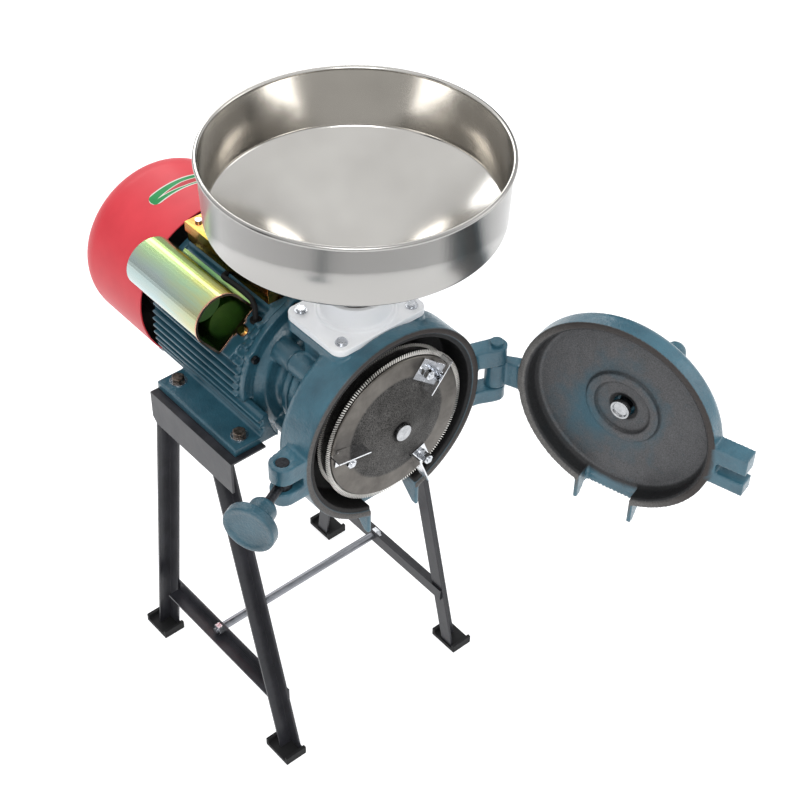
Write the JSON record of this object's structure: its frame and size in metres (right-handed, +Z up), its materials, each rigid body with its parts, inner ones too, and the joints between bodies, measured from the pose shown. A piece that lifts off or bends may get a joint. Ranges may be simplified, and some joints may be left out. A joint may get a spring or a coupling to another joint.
{
  "type": "electric grain mill",
  "caption": "Disc mill on the end of a foot-mounted motor, with a pan hopper, a hinged lid with a swing-bolt lock, and a four-legged steel stand.",
  "frame": {"origin": "middle of the bounding box, on the floor under the rubber feet", "axes": "+Z up, +Y back along the motor shaft from the grinding chamber to the fan cowl, +X towards the lid's hinge"},
  "size_m": [0.4695, 0.7238, 0.775],
  "materials": {
    "black_paint": "semi-gloss black enamel",
    "teal_casting": "hammered teal enamel on cast iron",
    "teal_motor": "gloss teal enamel on ribbed iron",
    "red_cowl": "satin red enamel on pressed steel",
    "zinc_yellow": "iridescent yellow passivated zinc",
    "zinc_bright": "bright zinc plate",
    "stainless": "polished stainless sheet with a satin inside",
    "white_casting": "bead-blasted bare aluminium",
    "disc_iron": "ground and oiled chilled iron",
    "dark_steel": "black oxide",
    "shaft_steel": "ground steel",
    "lamination": "stacked silicon steel",
    "copper_winding": "varnished copper wire",
    "bearing_steel": "polished bearing steel",
    "black_rubber": "matt black rubber",
    "black_plastic": "moulded black plastic",
    "red_plastic": "moulded red plastic",
    "lead_sheath": "black cable sheath"
  },
  "bodies": {
    "frame": {"left_rail": "black_paint", "right_rail": "black_paint", "left_front_leg": "black_paint", "left_rear_leg": "black_paint", "right_front_leg": "black_paint", "right_rear_leg": "black_paint", "left_brace": "black_paint", "right_brace": "black_paint", "rubber_feet": "black_rubber", "tie_rod": "zinc_bright", "tie_rod_nuts": "zinc_bright", "motor_foot_bolts": "zinc_bright", "motor_housing": "teal_motor", "stator_core": "lamination", "stator_windings": "copper_winding", "ball_bearings": "bearing_steel", "front_end_shield": "teal_motor", "shield_screws": "dark_steel", "rear_end_shield": "teal_motor", "fan_cowl": "red_cowl", "cowl_screws": "zinc_bright", "terminal_box": "teal_motor", "terminal_cover": "zinc_yellow", "terminal_screws": "zinc_bright", "capacitor_cover": "zinc_yellow", "run_capacitor": "black_plastic", "capacitor_screw": "zinc_yellow", "motor_lead": "lead_sheath", "lead_grommet": "black_rubber", "power_switch": "black_plastic", "cable_gland": "black_plastic", "mill_body": "teal_casting", "body_bolts": "zinc_bright", "shaft_seal": "black_rubber", "fixed_disc": "disc_iron", "fixed_disc_screws": "dark_steel", "feed_seat": "white_casting", "feed_seat_screws": "zinc_bright", "hopper": "stainless", "hinge_pin": "teal_casting", "swing_pin": "dark_steel"},
    "spindle": {"motor_shaft": "shaft_steel", "rotor_core": "lamination", "cooling_fan": "black_plastic", "feed_auger": "shaft_steel", "drive_key": "dark_steel", "float_spring": "dark_steel"},
    "grinding_disc": {"turning_disc": "disc_iron", "sweeper_blades": "zinc_bright", "blade_screws": "zinc_bright", "thrust_cap": "shaft_steel"},
    "lid": {"lid": "teal_casting"},
    "thrust_tip": {"thrust_tip": "zinc_bright"},
    "adjuster": {"adjust_screw": "dark_steel", "adjust_handle": "teal_casting"},
    "lock_nut": {"lock_nut": "dark_steel"},
    "swing_bolt": {"swing_bolt": "dark_steel"},
    "knob_washer": {"knob_washer": "dark_steel"},
    "lock_knob": {"lock_knob": "teal_casting"},
    "switch_rocker": {"switch_rocker": "red_plastic"}
  },
  "joints": [
    {"name": "spindle_spin", "type": "hinge", "parent": "frame", "child": "spindle", "pos_m": [-0.0259, -0.08358, 0.471], "axis": [0, 1, 0], "continuous": true},
    {"name": "disc_float", "type": "slide", "parent": "spindle", "child": "grinding_disc", "axis": [0, 1, 0], "range_m": [0, 0.008], "stiffness_N_per_m": 2000, "springref_m": -0.005, "deforming": ["float_spring"]},
    {"name": "lid_hinge", "type": "hinge", "parent": "frame", "child": "lid", "pos_m": [0.1156, -0.08108, 0.465], "axis": [0, 0, 1], "range_deg": [-105, 20]},
    {"name": "adjust_travel", "type": "slide", "parent": "lid", "child": "thrust_tip", "axis": [0.9659, 0.2588, 0], "range_m": [0, 0.01]},
    {"name": "adjust_turn", "type": "hinge", "parent": "thrust_tip", "child": "adjuster", "pos_m": [0.15464, -0.21711, 0.471], "axis": [0.9659, 0.2588, 0], "range_deg": [0, 1800]},
    {"name": "lock_nut_turn", "type": "hinge", "parent": "lid", "child": "lock_nut", "pos_m": [0.15464, -0.21711, 0.471], "axis": [0.9659, 0.2588, 0], "range_deg": [0, 90]},
    {"name": "bolt_swing", "type": "hinge", "parent": "frame", "child": "swing_bolt", "pos_m": [-0.1589, -0.06908, 0.465], "axis": [0, 0, 1], "range_deg": [-40, 65]},
    {"name": "knob_travel", "type": "slide", "parent": "swing_bolt", "child": "knob_washer", "axis": [-0.9063, -0.4226, 0], "range_m": [-0.0012, 0.012]},
    {"name": "knob_turn", "type": "hinge", "parent": "knob_washer", "child": "lock_knob", "pos_m": [-0.1589, -0.06908, 0.465], "axis": [-0.9063, -0.4226, 0], "range_deg": [-288, 2880]},
    {"name": "switch_tilt", "type": "hinge", "parent": "frame", "child": "switch_rocker", "pos_m": [-0.0099, 0.17642, 0.584], "axis": [0, 1, 0], "range_deg": [0, 20]}
  ],
  "couplings": [
    {"joint": "adjust_turn", "follows": "adjust_travel", "rad_per_m": 3141.6},
    {"joint": "knob_turn", "follows": "knob_travel", "rad_per_m": 4188.8}
  ]
}
